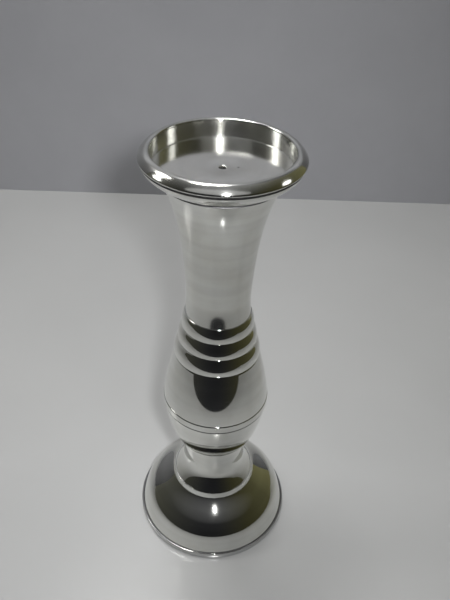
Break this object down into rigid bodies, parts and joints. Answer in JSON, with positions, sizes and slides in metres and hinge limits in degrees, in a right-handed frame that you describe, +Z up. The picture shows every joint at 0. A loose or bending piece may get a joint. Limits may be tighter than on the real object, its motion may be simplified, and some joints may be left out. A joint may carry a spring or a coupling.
{
  "type": "pillar candlestick",
  "caption": "Tall turned metal candlestick: a rimmed pan for a pillar candle on a trumpet stem, ringed bulbous body, waisted neck and domed round foot.",
  "frame": {"origin": "centre of the underside, on the surface that the candlestick stands on", "axes": "+Z up along the axis of revolution, towards the candle pan"},
  "size_m": [0.143, 0.143, 0.383],
  "materials": {
    "polished_metal": "mirror polished",
    "zinc_steel": "zinc plated",
    "board": "matt",
    "felt": "felt"
  },
  "bodies": {
    "root": {"candle_pan": "polished_metal", "upper_stem": "polished_metal", "ring_collar_top": "polished_metal", "ring_collar_middle": "polished_metal", "ring_collar_bottom": "polished_metal", "body_shell": "polished_metal", "girdle_band": "polished_metal", "lower_bowl": "polished_metal", "neck_spool": "polished_metal", "foot_collar": "polished_metal", "foot_dome": "polished_metal", "base_ring": "polished_metal", "tie_rod": "zinc_steel", "clamp_washer": "zinc_steel", "spring_washer": "zinc_steel", "clamp_nut": "zinc_steel", "base_cover": "board", "felt_pad": "felt"}
  },
  "joints": []
}
